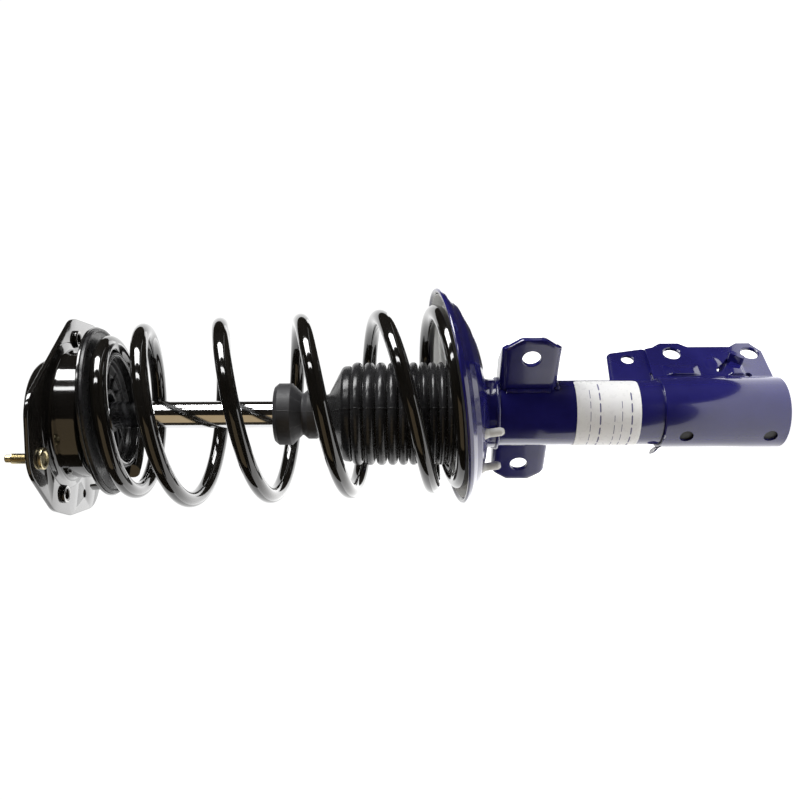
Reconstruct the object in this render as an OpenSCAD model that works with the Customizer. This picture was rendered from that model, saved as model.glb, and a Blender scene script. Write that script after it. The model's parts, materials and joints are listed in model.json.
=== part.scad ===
// Front suspension strut assembly: top mount, bearing, coil spring, damper and its brackets.
// Millimetres. Z runs along the piston rod with the top mount up, X points outboard,
// and the origin is on the rod's axis at the top face of the mount plate.

/* [Top mount] */
// Thickness of the mount plate
plate_t = 3.5; // [2.5:0.5:5]
// Height of the dome above the plate
dome_h = 19; // [17:1:24]
// Radius of the dome
dome_r = 46; // [44:1:50]
// Radius of the housing below the plate
housing_r = 51; // [50:0.5:54]
// Tapped hole radius of the plate's pierce nuts, for an M10 thread
nut_bore_r = 4.25; // [4:0.05:4.4]
// Radius of the M8 stud's shank
stud_r = 4; // [3.5:0.1:4.5]
// How far the stud stands above the plate
stud_h = 23; // [15:1:30]

/* [Coil spring] */
// Radius of the spring wire
wire_r = 6.6; // [6:0.1:6.8]
// Mean radius of the active coils
coil_r = 71; // [70:0.2:73]
// Mean radius of the upper end coil
end_coil_r = 56.5; // [56:0.5:58]
// Rise for one active turn
coil_pitch = 65.6; // [65:0.1:66]

/* [Damper] */
// Radius of the piston rod
rod_r = 11; // [10:0.5:11]
// Outer radius of the reserve tube
tube_r = 26.5; // [26:0.5:27]
// Wall of the reserve tube
tube_wall = 2.5; // [2:0.5:3]
// Bore radius of the inner cylinder
bore_r = 16; // [15:0.5:17]
// Radial running clearance of the rod in its bush and seal
run_fit = 0.03; // [0.02:0.01:0.05]

/* [Lower seat] */
// Radius of the dish's rim
seat_r = 90; // [88:1:92]
// How far the dish's centre lies outboard of the rod
seat_shift = 21; // [19:1:22]
// Distance of the rim's centre below the plate
seat_drop = 313; // [312:1:314]

/* [Brackets] */
// Radius of the knuckle bolt holes
knuckle_hole_r = 7.25; // [6:0.25:8]
// Distance of the knuckle bolts from the rod
knuckle_x = 56; // [54:1:58]
// Distance of the upper knuckle bolt below the plate
knuckle_top_drop = 506; // [504:1:508]
// Distance between the two knuckle bolts
knuckle_gap = 66; // [62:1:68]
// Clear width between the knuckle bracket's flanges
flange_gap = 26.5; // [24:0.5:28]
// Thickness of the knuckle bracket
flange_t = 3.5; // [3:0.5:4]
// Radius of the stabiliser link holes
link_hole_r = 7.3; // [6:0.1:8]
// Distance of the link holes from the rod
link_out = 58.5; // [56:0.5:60]
// Distance of the link holes below the plate
link_drop = 376; // [374:1:378]

/* [Hidden] */
$fn = 96;

plate_z = -plate_t;
wall = 2.5;
// Circles whose common outline is the mount plate: x, y, radius, counter-clockwise.
plate_rounds = [[54, -33, 20], [84, 2, 22], [4, 80, 20], [-38, 48, 22.5], [-44, 18, 34],
    [-58, -18, 28], [-46, -42, 23]];
bolt_ring_r = 65;
bolt_turn = -34.2;
pierce_nuts = [for (turn = [bolt_turn, bolt_turn + 180]) bolt_ring_r * [cos(turn), sin(turn)]];
pierce_nut_r = 7.25;
pierce_spigot_r = 5.6;
pierce_nut_h = 3;
stud_at = [-67, -18];
stud_head_r = 8.35;
stud_head_h = 3.5;
stud_collar = 1;
stud_collar_h = 0.5;
dog_h = 5;
drain_at = [-20.8, 72.4];
drain_r = 3.4;
dome_shoulder = 11;
dome_wall = 3;
dome_mouth_r = 19;

housing_foot = -26;
housing_floor = -20;
rod_thread_r = 7;
sleeve_r = 16;
rod_shoulder = -26;
washer_t = 3;
nut_h = 11;
nut_across = 21;

race_t = 2.5;
ball_r = 2.4;
ball_ring_r = 40;
ball_count = 24;
ball_z = housing_floor - race_t - 2.5;
lower_race_top = ball_z - 2.5;
seat_hub_top = lower_race_top - race_t;

// Slopes of the two spring seats, as rise per millimetre along X and Y.
upper_slope = [0.074, -0.058];
lower_slope = [0.149, -0.032];
flange_top = -31.6;
flange_r = 69;
flange_sheet = 1.8;
locate_r = 45.5;
hub_r = 41.5;
insulator_r = 67.7;
insulator_top = flange_top - flange_sheet;
insulator_floor = insulator_top - 1.8;
collar_r = 47.4;

end_turn = -0.42;
last_turn = 5.6;
start_z = -42.3;
ramp_up = [-0.2, 1.5];
ramp_down = [4.33, 5.23];
coil_mid_slope = [0.053, -0.046];
end_coil_side = -1.5;
mid_coil_side = 3.2;
foot_coil_r = 70;
rings_per_turn = 26;
wire_sides = 10;

tube_top = -268;
tube_foot = -583.8;
guide_top = -276;
guide_foot = -292;
cylinder_foot = -565;
piston_z = -372;
piston_h = 18;
rod_foot = -404;
stop_z = -297.5;

boot_top = -217;
boot_foot = -328;
boot_wall = 2;
crest_r = 42;
valley_r = 37.5;
crest_count = 10;
bumper_top = -172;

knuckle_top = -484;
sleeve_wall = 2.2;
knuckle_drops = [knuckle_top_drop, knuckle_top_drop + knuckle_gap];
flange_y = flange_gap / 2;
hose_sheet = 2.5;
hose_hole = [52, -468];
hose_hole_r = 5.25;
label_top = -414;
label_foot = -465;
label_t = 0.3;
label_turn = -169;
label_wrap = 210;

// Turns children so that a level plane takes the given slope.
module lean(slope) rotate(a = atan(norm(slope)), v = [slope[1], -slope[0], 0]) children();

// A ring about Z from one radius to another, between two heights.
module ring(inner, outer, low, high)
    translate([0, 0, low]) difference() {
        cylinder(r = outer, h = high - low);
        translate([0, 0, -1]) cylinder(r = inner, h = high - low + 2);
    }

function unit(angle) = [cos(angle), sin(angle)];
function bearing(v) = atan2(v[1], v[0]);
function spot(c) = [c[0], c[1]];
// Angle of the outer tangent's normal from one circle to the next, going counter-clockwise.
function tangent_angle(a, b) =
    bearing(spot(b) - spot(a)) - acos((a[2] - b[2]) / norm(spot(b) - spot(a)));

// The smooth convex outline round a list of circles.
module outline(rounds) {
    count = len(rounds);
    polygon([for (i = [0:count - 1]) for (side = [0, 1])
        let (a = rounds[i], b = rounds[(i + 1) % count], n = unit(tangent_angle(a, b)), c = side == 0 ? a : b)
        spot(c) + c[2] * n]);
    for (c = rounds) translate(spot(c)) circle(r = c[2]);
}

// Half of the dome's section, with an arc at its shoulder.
module dome_section(r, top, shoulder)
    union() {
        translate([dome_mouth_r, plate_z]) square([r - shoulder - dome_mouth_r, top - plate_z]);
        translate([dome_mouth_r, plate_z]) square([r - dome_mouth_r, top - shoulder - plate_z]);
        translate([r - shoulder, top - shoulder]) circle(r = shoulder);
    }

module mount_plate() color("#141414") union() {
    difference() {
        translate([0, 0, plate_z]) linear_extrude(plate_t) outline(plate_rounds);
        translate([0, 0, plate_z - 1]) cylinder(r = dome_r - dome_wall, h = plate_t + 2);
        for (p = pierce_nuts)
            translate([p[0], p[1], plate_z - 1]) cylinder(r = pierce_spigot_r, h = plate_t + 2);
        translate([stud_at[0], stud_at[1], plate_z - 1]) cylinder(r = stud_r + stud_collar, h = plate_t + 2);
        translate([drain_at[0], drain_at[1], plate_z - 1]) cylinder(r = drain_r, h = plate_t + 2);
    }
    rotate_extrude() difference() {
        dome_section(dome_r, dome_h, dome_shoulder);
        translate([0, -0.01]) dome_section(dome_r - dome_wall, dome_h - dome_wall, dome_shoulder - dome_wall);
    }
}

module mount_housing() color("#161616") union() {
    ring(housing_r - wall, housing_r, housing_foot, plate_z);
    ring(29, housing_r - wall, housing_floor, housing_floor + wall);
}

module mount_rubber() color("#1c1c1c") rotate_extrude() polygon([
    [sleeve_r, housing_floor + wall + 1], [29, housing_floor + wall],
    [housing_r - wall, housing_floor + wall],
    [housing_r - wall, plate_z - 1], [dome_r - dome_wall, plate_z - 1], [dome_r - dome_wall, 3],
    [34, 8], [26, 6], [22, -2], [sleeve_r, -3]]);

module mount_inner_sleeve() color("silver") difference() {
    union() {
        translate([0, 0, rod_shoulder]) cylinder(r = sleeve_r, h = -rod_shoulder);
        translate([0, 0, rod_shoulder]) cylinder(r = 22, h = 3);
    }
    translate([0, 0, rod_shoulder - 1]) cylinder(r = rod_thread_r, h = -rod_shoulder + 2);
}

module rebound_washer() color("silver") ring(rod_thread_r, 17.5, 0, washer_t);

module rod_nut() color("silver") translate([0, 0, washer_t]) difference() {
    cylinder(r = nut_across / 2 / cos(30), h = nut_h, $fn = 6);
    translate([0, 0, -1]) cylinder(r = rod_thread_r, h = nut_h + 2);
}

module mount_stud() color("#b8a878") translate([stud_at[0], stud_at[1], 0]) union() {
    translate([0, 0, plate_z - stud_head_h]) cylinder(r = stud_head_r, h = stud_head_h);
    translate([0, 0, plate_z]) cylinder(r = stud_r + stud_collar, h = plate_t + stud_collar_h);
    translate([0, 0, plate_z]) cylinder(r = stud_r, h = plate_t + stud_h - dog_h);
    translate([0, 0, stud_h - dog_h]) cylinder(r = stud_r - 1, h = dog_h);
}

module mount_pierce_nuts() color("#242424") for (p = pierce_nuts) translate([p[0], p[1], 0]) difference() {
    union() {
        translate([0, 0, plate_z]) cylinder(r = pierce_spigot_r, h = plate_t);
        translate([0, 0, plate_z - pierce_nut_h]) cylinder(r = pierce_nut_r, h = pierce_nut_h);
    }
    translate([0, 0, plate_z - pierce_nut_h - 1]) cylinder(r = nut_bore_r, h = plate_t + pierce_nut_h + 2);
}

module bearing_groove()
    translate([0, 0, ball_z]) rotate_extrude() translate([ball_ring_r, 0]) circle(r = ball_r + 0.4);

module bearing_upper_race() color("silver") difference() {
    ring(32, 47, housing_floor - race_t, housing_floor);
    bearing_groove();
}

module bearing_balls() color("gainsboro") for (i = [0:ball_count - 1])
    rotate(i * 360 / ball_count) translate([ball_ring_r, 0, ball_z]) sphere(r = ball_r, $fn = 32);

module bearing_cage() color("#3a3a3a") difference() {
    ring(36, 44, ball_z - 1, ball_z + 1);
    for (i = [0:ball_count - 1])
        rotate(i * 360 / ball_count) translate([ball_ring_r, 0, ball_z - 2])
            cylinder(r = ball_r + 0.15, h = 4, $fn = 32);
}

module bearing_lower_race() color("silver") difference() {
    ring(32, 47, lower_race_top - race_t, lower_race_top);
    bearing_groove();
}

module upper_spring_seat() color("#181818") difference() {
    union() {
        translate([0, 0, flange_top - 6]) cylinder(r = hub_r, h = seat_hub_top - flange_top + 6);
        lean(upper_slope) translate([0, 0, insulator_top]) cylinder(r = flange_r, h = flange_sheet);
        lean(upper_slope) translate([0, 0, insulator_top - 14]) cylinder(r = locate_r, h = 14);
    }
    lean(upper_slope) translate([0, 0, insulator_top - 15]) cylinder(r = locate_r - wall, h = 14);
    translate([0, 0, seat_hub_top]) cylinder(r = 47.4, h = 10);
    translate([0, 0, -60]) cylinder(r = 14, h = 40);
}

module upper_insulator() color("#222222") lean(upper_slope) rotate_extrude() polygon([
    [locate_r, insulator_top], [insulator_r, insulator_top], [insulator_r, insulator_floor - 1.2],
    [66, insulator_floor - 1.8], [64.6, insulator_floor], [collar_r, insulator_floor],
    [collar_r, insulator_top - 11], [collar_r - 0.8, insulator_top - 14], [locate_r, insulator_top - 14]]);

module bumper_cup() color("#2a2a2a") difference() {
    lean(upper_slope) translate([0, 0, insulator_top - 5]) cylinder(r = locate_r - wall, h = 4);
    translate([0, 0, -60]) cylinder(r = 14, h = 40);
}

// How far a ramp has climbed by turn t, when its slope grows from none to one between two turns.
function ramp(t, a, b) = t < a ? 0 : t < b ? (t - a) * (t - a) / (2 * (b - a)) : t - (a + b) / 2;
function mix(a, b, f) = a + (b - a) * min(1, max(0, f));
function coil_z(t) =
    start_z - coil_pitch * (ramp(t, ramp_up[0], ramp_up[1]) - ramp(t, ramp_down[0], ramp_down[1]));
function coil_radius(t) = t < 4
    ? coil_r - (coil_r - end_coil_r) * exp(-max(0, t - 0.3) / 0.35)
    : mix(coil_r, foot_coil_r, (t - 4.6) / 0.6);
function coil_side(t) = t < 4
    ? mix(end_coil_side, mid_coil_side, (t - 0.3) / 0.7)
    : mix(mid_coil_side, 0, (t - 4.3) / 0.8);
function coil_centre(t) = [mix(1, seat_shift, (-50 - coil_z(t)) / 271), coil_side(t)];
function coil_slope(t) = t < 2
    ? mix(upper_slope, coil_mid_slope, t - 0.5)
    : mix(coil_mid_slope, lower_slope, (t - 3.6) / 1.4);
function coil_angle(t) = -47 - 360 * t;
function coil_point(t) =
    let (arm = coil_radius(t) * unit(coil_angle(t)), c = coil_centre(t))
    [c[0] + arm[0], c[1] + arm[1], coil_z(t) + coil_slope(t) * arm];

module coil_spring() color("#101010") {
    count = round((last_turn - end_turn) * rings_per_turn);
    path = [for (i = [0:count]) coil_point(end_turn + i / rings_per_turn)];
    points = [for (i = [0:count])
        let (ahead = path[min(i + 1, count)] - path[max(i - 1, 0)], t = ahead / norm(ahead),
            side = cross(t, [0, 0, 1]) / norm(cross(t, [0, 0, 1])), up = cross(side, t))
        for (k = [0:wire_sides - 1])
            path[i] + wire_r * (cos(k * 360 / wire_sides) * side + sin(k * 360 / wire_sides) * up)];
    faces = concat(
        [[for (k = [0:wire_sides - 1]) k]],
        [[for (k = [wire_sides - 1:-1:0]) count * wire_sides + k]],
        [for (i = [0:count - 1]) for (k = [0:wire_sides - 1])
            [i * wire_sides + k, (i + 1) * wire_sides + k,
                (i + 1) * wire_sides + (k + 1) % wire_sides, i * wire_sides + (k + 1) % wire_sides]]);
    polyhedron(points = points, faces = faces);
}

module piston_rod() color("lightgray") union() {
    translate([0, 0, rod_foot]) cylinder(r = 6, h = piston_z - rod_foot);
    translate([0, 0, piston_z]) cylinder(r = rod_r, h = rod_shoulder - piston_z);
    translate([0, 0, rod_shoulder]) cylinder(r = rod_thread_r, h = 17 - rod_shoulder);
}

module rebound_stop() color("dimgray") ring(rod_r, 15.4, stop_z - 8, stop_z);

module valve_shims() color("silver") {
    ring(6, 13, piston_z - 1.5, piston_z);
    ring(6, 13, piston_z - piston_h - 1.5, piston_z - piston_h);
}

module piston() color("darkgray") difference() {
    ring(6, bore_r - 0.6, piston_z - piston_h, piston_z - 1.5);
    ring(bore_r - 1.2, bore_r + 1, piston_z - piston_h + 4, piston_z - 5.5);
    for (i = [0:5])
        rotate(i * 60) translate([10, 0, piston_z - piston_h - 1]) cylinder(r = 1.6, h = piston_h);
}

module piston_band() color("#4a4030")
    ring(bore_r - 1.2, bore_r - 0.05, piston_z - piston_h + 4, piston_z - 5.5);

module piston_nut() color("silver") translate([0, 0, rod_foot + 1]) difference() {
    cylinder(r = 10, h = piston_z - piston_h - 1.5 - rod_foot - 1, $fn = 6);
    translate([0, 0, -1]) cylinder(r = 6, h = 40);
}

module reserve_tube() color("#1f2060") union() {
    ring(tube_r - tube_wall, tube_r, tube_foot + 2, tube_top);
    ring(19, tube_r - tube_wall, tube_top - 3, tube_top);
}

module cylinder_tube() color("silver") ring(bore_r, bore_r + 1.5, cylinder_foot, guide_foot);

module rod_guide() color("darkgray") ring(rod_r + 1.5, tube_r - tube_wall, guide_foot, guide_top);

module guide_bush() color("#6a5a3a") ring(rod_r + run_fit, rod_r + 1.5, guide_foot + 1, guide_top - 1);

module rod_seal() color("#151515") ring(rod_r + run_fit, tube_r - tube_wall, guide_top, tube_top - 3);

module base_valve() color("silver") union() {
    translate([0, 0, cylinder_foot - 4]) cylinder(r = bore_r + 1.5, h = 4);
    translate([0, 0, cylinder_foot]) cylinder(r = bore_r, h = 6);
}

module base_cap() color("#1f2060") union() {
    translate([0, 0, tube_foot + 2]) cylinder(r = tube_r - tube_wall, h = cylinder_foot - 4 - tube_foot - 2);
    translate([0, 0, tube_foot]) cylinder(r = tube_r - 1, h = 2);
}

// The dish's section: an outer skin of straight steps, and the same skin moved in by the sheet.
dish_skin = [[seat_r, 0], [seat_r - 2.4, -4], [seat_r - 8.5, -8.5], [seat_r - 13.4, -13.6],
    [seat_r - 26.5, -20], [seat_r - 40, -25]];
dish_sheet = 3;
peg_r = 3.4;
peg_ring_r = 66;
peg_turns = [-25, 13];
peg_foot = -33;
module dish_frame() translate([seat_shift, 0, -seat_drop]) lean(lower_slope) children();
module peg_places() for (turn = peg_turns)
    dish_frame() rotate(180 + turn) translate([peg_ring_r, 0, 0]) children();

module lower_spring_seat() color("#23246a") difference() {
    dish_frame() rotate_extrude() polygon(concat(
        [[0, -25]], [[0, -25 + dish_sheet]], [[seat_r - 41, -25 + dish_sheet]],
        [for (i = [4:-1:1]) dish_skin[i] + [-1.6, dish_sheet - 0.4]],
        [[seat_r - 2.6, 0]], dish_skin));
    translate([0, 0, -400]) cylinder(r = tube_r, h = 120);
    peg_places() translate([0, 0, -40]) cylinder(r = peg_r, h = 40);
}

module seat_collar() color("#23246a") difference() {
    translate([0, 0, -352]) cylinder(r = tube_r + 2, h = 24);
    translate([0, 0, -360]) cylinder(r = tube_r, h = 50);
    dish_frame() translate([0, 0, -25]) cylinder(r = 80, h = 60);
}

module lower_insulator() color("whitesmoke") union() {
    dish_frame() rotate_extrude()
        polygon([[54, -20.2], [54, -9.5], [76.3, -7.5], [76.3, -10.2], [62.3, -16.9]]);
    peg_places() translate([0, 0, peg_foot]) cylinder(r = peg_r, h = -12 - peg_foot);
}

function crest_z(i) = -239 - i * 8.3;
boot_skin = concat([[25, boot_top], [crest_r - 3, boot_top - 11], [crest_r - 3, boot_top - 16]],
    [for (i = [0:crest_count - 1]) for (p = [[valley_r, crest_z(i) + 4.1], [crest_r, crest_z(i)]]) p],
    [[valley_r, crest_z(crest_count) + 4.1], [valley_r, boot_foot]]);

module dust_boot() color("#3c3c3e") rotate_extrude() difference() {
    polygon(concat([[rod_r + 0.8, boot_foot], [rod_r + 0.8, boot_top]], boot_skin));
    polygon(concat([[0, boot_foot + 4], [0, boot_top - 3]],
        [for (p = boot_skin) [p[0] - boot_wall, min(boot_top - 3, max(p[1] - 0.5, boot_foot + 4))]]));
    translate([0, boot_foot - 1]) square([tube_r, 6]);
}

module jounce_bumper() color("#48484a") rotate_extrude() polygon([
    [rod_r + 0.5, bumper_top], [22.5, bumper_top], [25.2, bumper_top - 3.5], [25.2, bumper_top - 14],
    [17.5, bumper_top - 22.5], [20.3, bumper_top - 27], [20.3, bumper_top - 34], [15.5, bumper_top - 42],
    [15.5, boot_top], [rod_r + 0.5, boot_top]]);

// A stabiliser link bracket: a web across the tube, with its two edges folded back into a channel.
module link_bracket() color("#1f2060") difference() {
    union() {
        translate([-2, 0, 0]) rotate([90, 0, 90]) linear_extrude(4) polygon([[20, -link_drop - 23],
            [66, -link_drop - 23], [72, -link_drop - 17], [77, -link_drop - 9], [77, -link_drop + 9],
            [72, -link_drop + 17], [66, -link_drop + 23], [20, -link_drop + 23]]);
        for (z = [-link_drop - 23, -link_drop + 19]) translate([0, 0, z])
            linear_extrude(4) polygon([[2, 20], [-23, 20], [-23, 40], [-12, 66], [2, 66]]);
    }
    translate([0, 0, -450]) cylinder(r = tube_r, h = 150);
    translate([-10, link_out, -link_drop]) rotate([0, 90, 0]) cylinder(r = link_hole_r, h = 20);
}

module link_bracket_front() mirror([1, 0, 0]) link_bracket();

module link_bracket_rear() rotate(180) link_bracket();

// Side view of one knuckle flange: x outward, z up.
module flange_side() polygon([[18, tube_foot + 1], [57, tube_foot + 1], [68, knuckle_foot_z(-4)],
    [70, knuckle_foot_z(5)], [64.5, knuckle_foot_z(14)], [64.5, -knuckle_top_drop - 15],
    [69.5, -knuckle_top_drop - 8], [69.5, -knuckle_top_drop + 8], [64.5, knuckle_top - 3],
    [62, knuckle_top], [18, knuckle_top]]);
function knuckle_foot_z(up) = -knuckle_top_drop - knuckle_gap + up;

module knuckle_bracket() color("#23246a") difference() {
    union() {
        translate([0, 0, tube_foot + 1]) cylinder(r = tube_r + sleeve_wall, h = knuckle_top - tube_foot - 1);
        for (y = [-flange_y - flange_t, flange_y])
            translate([0, y + flange_t, 0]) rotate([90, 0, 0]) linear_extrude(flange_t) flange_side();
    }
    translate([0, 0, tube_foot - 1]) cylinder(r = tube_r, h = 120);
    for (drop = knuckle_drops)
        translate([knuckle_x, 40, -drop]) rotate([90, 0, 0]) cylinder(r = knuckle_hole_r, h = 80);
    for (z = [-502, -569]) translate([-40, 0, z]) rotate([0, 90, 0]) cylinder(r = 5.5, h = 20);
}

module hose_bracket() color("#23246a") translate([0, hose_sheet - flange_y, 0]) difference() {
    rotate([90, 0, 0]) linear_extrude(hose_sheet) polygon([[34, -493], [64, -493], [66, -482],
        [60.5, -454], [57, -451], [18, -448], [18, knuckle_top + 0.5], [34, knuckle_top + 0.5]]);
    translate([hose_hole[0], 5, hose_hole[1]]) rotate([90, 0, 0]) cylinder(r = hose_hole_r, h = 20);
    translate([0, flange_y - hose_sheet, -500]) cylinder(r = tube_r, h = 60);
}

module tube_label() color("white") rotate(label_turn - label_wrap / 2) rotate_extrude(angle = label_wrap)
    translate([tube_r, label_foot]) square([label_t, label_top - label_foot]);

mount_plate();
mount_housing();
mount_rubber();
mount_inner_sleeve();
rebound_washer();
rod_nut();
mount_stud();
mount_pierce_nuts();
bearing_upper_race();
bearing_balls();
bearing_cage();
bearing_lower_race();
upper_spring_seat();
upper_insulator();
bumper_cup();
coil_spring();
piston_rod();
rebound_stop();
piston();
piston_band();
valve_shims();
piston_nut();
reserve_tube();
cylinder_tube();
rod_guide();
guide_bush();
rod_seal();
base_valve();
base_cap();
lower_spring_seat();
seat_collar();
lower_insulator();
dust_boot();
jounce_bumper();
link_bracket_front();
link_bracket_rear();
knuckle_bracket();
hose_bracket();
tube_label();
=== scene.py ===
import math

import bmesh
import bpy
from mathutils import Matrix, Vector
from mathutils.geometry import convex_hull_2d
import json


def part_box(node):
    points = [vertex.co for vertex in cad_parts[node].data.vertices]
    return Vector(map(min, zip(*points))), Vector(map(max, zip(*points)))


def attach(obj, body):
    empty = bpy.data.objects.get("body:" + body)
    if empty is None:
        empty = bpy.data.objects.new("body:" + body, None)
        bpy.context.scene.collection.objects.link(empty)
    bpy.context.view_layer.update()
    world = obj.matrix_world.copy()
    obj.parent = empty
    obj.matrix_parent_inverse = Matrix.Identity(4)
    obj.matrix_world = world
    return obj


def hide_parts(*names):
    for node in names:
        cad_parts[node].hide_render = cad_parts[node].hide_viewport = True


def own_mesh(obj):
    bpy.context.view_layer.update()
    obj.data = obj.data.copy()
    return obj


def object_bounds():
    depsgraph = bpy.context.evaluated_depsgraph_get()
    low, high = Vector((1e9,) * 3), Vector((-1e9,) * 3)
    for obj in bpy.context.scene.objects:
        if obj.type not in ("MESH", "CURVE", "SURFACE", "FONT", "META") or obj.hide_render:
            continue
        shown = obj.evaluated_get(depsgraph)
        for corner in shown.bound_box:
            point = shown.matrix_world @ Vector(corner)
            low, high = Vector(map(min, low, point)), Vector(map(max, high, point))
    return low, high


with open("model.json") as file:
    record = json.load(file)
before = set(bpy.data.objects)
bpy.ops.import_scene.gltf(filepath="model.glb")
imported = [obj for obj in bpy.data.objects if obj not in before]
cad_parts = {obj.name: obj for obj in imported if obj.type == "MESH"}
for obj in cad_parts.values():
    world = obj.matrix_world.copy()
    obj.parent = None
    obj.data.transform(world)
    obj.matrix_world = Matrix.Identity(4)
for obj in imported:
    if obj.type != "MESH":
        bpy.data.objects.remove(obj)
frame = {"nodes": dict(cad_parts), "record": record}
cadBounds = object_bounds()
mm = 0.001  # every size below is in millimetres, along the frame's own axes
fullTurn = 2 * math.pi


def nodeBox(node):
    low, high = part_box(node)
    return low / mm, high / mm


# Paths, skins and beads: the small tools that every piece is made with.
def filletPath(corners, closed=True, arcSteps=5):
    # a corner is (x, y), or (x, y, radius) to round it
    path = []
    last = len(corners) - 1
    for index, corner in enumerate(corners):
        here = Vector(corner[:2])
        if len(corner) < 3 or (not closed and index in (0, last)):
            path.append(here)
            continue
        back = Vector(corners[index - 1][:2]) - here
        ahead = Vector(corners[(index + 1) % len(corners)][:2]) - here
        half = back.angle(ahead) / 2
        reach = min(corner[2] / math.tan(half), back.length * 0.49, ahead.length * 0.49)
        radius = reach * math.tan(half)
        centre = here + (back.normalized() + ahead.normalized()).normalized() * radius / math.sin(half)
        first = here + back.normalized() * reach - centre
        final = here + ahead.normalized() * reach - centre
        start = math.atan2(first.y, first.x)
        turn = (math.atan2(final.y, final.x) - start + math.pi) % fullTurn - math.pi
        for step in range(arcSteps + 1):
            angle = start + turn * step / arcSteps
            path.append(centre + radius * Vector((math.cos(angle), math.sin(angle))))
    kept = [p for p, q in zip(path, path[-1:] + path[:-1]) if (p - q).length > 1e-4]
    return kept


def circlePath(x, y, radius, steps=48):
    return [Vector((x + radius * math.cos(a), y + radius * math.sin(a)))
            for a in (fullTurn * i / steps for i in range(steps))]


def skin(rows, closeRows=False, closeColumns=True):
    # quads over rows of points, every row with as many points
    width = len(rows[0])
    faces = []
    for i in range(len(rows) if closeRows else len(rows) - 1):
        k = (i + 1) % len(rows)
        for j in range(width if closeColumns else width - 1):
            n = (j + 1) % width
            faces.append((i * width + j, i * width + n, k * width + n, k * width + j))
    return [Vector(p) for row in rows for p in row], faces


def ringRow(radius, height, steps=96):
    # radius is a number, or a function of the angle
    angles = [fullTurn * j / steps for j in range(steps)]
    radii = [radius(a) if callable(radius) else radius for a in angles]
    return [(r * math.cos(a), r * math.sin(a), height) for r, a in zip(radii, angles)]


def profileRows(corners, steps=96, closed=False, arcSteps=5):
    return [ringRow(p.x, p.y, steps) for p in filletPath(corners, closed, arcSteps)]


def lathe(corners, steps=96, closed=True, arcSteps=5):
    return skin(profileRows(corners, steps, closed, arcSteps), closed)


def bead(points, radius, sides=10):
    # a round bar along points; radius is a number or one for each point
    points = [Vector(p) for p in points]
    radii = radius if isinstance(radius, list) else [radius] * len(points)
    rows = []
    side = None
    for i, point in enumerate(points):
        ahead = (points[min(i + 1, len(points) - 1)] - points[max(i - 1, 0)]).normalized()
        side = ahead.orthogonal() if side is None else side - ahead * side.dot(ahead)
        side = side.normalized()
        up = ahead.cross(side)
        rows.append([point + radii[i] * (math.cos(a) * side + math.sin(a) * up)
                     for a in (fullTurn * k / sides for k in range(sides))])
    return skin([[points[0]] * sides] + rows + [[points[-1]] * sides])


def weld(points, radius):
    # a weld bead with the ripples of its run
    dense = []
    for a, b in zip(points, points[1:]):
        steps = max(1, round((Vector(b) - Vector(a)).length / 0.45))
        dense += [Vector(a).lerp(Vector(b), i / steps) for i in range(steps)]
    radii = [radius * (1 + 0.1 * abs(math.sin(i * 0.9)) + 0.08 * math.sin(i * 0.23))
             for i in range(len(dense))]
    radii[0] = radii[-1] = radius * 0.55
    return bead(dense, radii)


def threadRows(radius, pitch, depth, low, high, steps=48, rowsPerTurn=8):
    # depth is above zero for a screw and below it for a nut
    count = max(2, round((high - low) / pitch * rowsPerTurn))
    rows = []
    for i in range(count + 1):
        z = low + (high - low) * i / count
        fade = min(1, (z - low) / pitch + 0.1, (high - z) / pitch + 0.1)
        row = []
        for j in range(steps):
            groove = abs(2 * ((z / pitch - j / steps) % 1) - 1)
            r = radius - depth * fade * min(1, max(0, 1.25 * groove - 0.12))
            row.append((r * math.cos(fullTurn * j / steps), r * math.sin(fullTurn * j / steps), z))
        rows.append(row)
    return rows


def offsetPath(path, distance):
    # moves a closed path to its left
    moved = []
    for i, here in enumerate(path):
        before = (here - path[i - 1]).normalized()
        after = (path[(i + 1) % len(path)] - here).normalized()
        normal = Vector((-before.y - after.y, before.x + after.x))
        normal /= max(0.3, normal.dot(Vector((-before.y, before.x))))
        moved.append(here + normal * distance)
    return moved


def sheet(outline, holes, thickness, edge=0.5):
    # a flat sheet in XY, from zero up to its thickness; its outline runs counter-clockwise and a hole is
    # (path, edge radius)
    arc = [(1 - math.sin(a), 1 - math.cos(a)) for a in (math.pi / 2 * i / 3 for i in range(4))]
    points, faces, caps = [], [], ([], [])
    for path, round_ in [(outline, edge)] + [(hole[::-1], r) for hole, r in holes]:
        low = [(inset * round_, lift * round_) for inset, lift in arc] if round_ else [(0, 0)]
        rings = low + [(inset, thickness - lift) for inset, lift in reversed(low)]
        rows = [[(p.x, p.y, z) for p in offsetPath(path, inset)] for inset, z in rings]
        shape = skin(rows)
        faces += [tuple(v + len(points) for v in face) for face in shape[1]]
        points += shape[0]
        for cap, row in zip(caps, (rows[0], rows[-1])):
            cap.append([Vector(p) for p in row])
    for cap in caps:
        flat = bmesh.new()
        for loop in cap:
            corners = [flat.verts.new(p) for p in loop]
            for a, b in zip(corners, corners[1:] + corners[:1]):
                flat.edges.new((a, b))
        bmesh.ops.triangle_fill(flat, use_beauty=True, edges=flat.edges[:])
        flat.verts.index_update()
        faces += [tuple(v.index + len(points) for v in face.verts) for face in flat.faces]
        points += [v.co.copy() for v in flat.verts]
        flat.free()
    return points, faces


def placed(shape, matrix):
    return [matrix @ Vector(p) for p in shape[0]], shape[1]


def shifted(x, y, z):
    return Matrix.Translation((x, y, z))


def turned(degrees, axis):
    return Matrix.Rotation(math.radians(degrees), 4, axis)


def leanMatrix(slope):
    return Matrix.Rotation(math.atan(math.hypot(*slope)), 4, Vector((slope[1], -slope[0], 0)))


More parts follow.
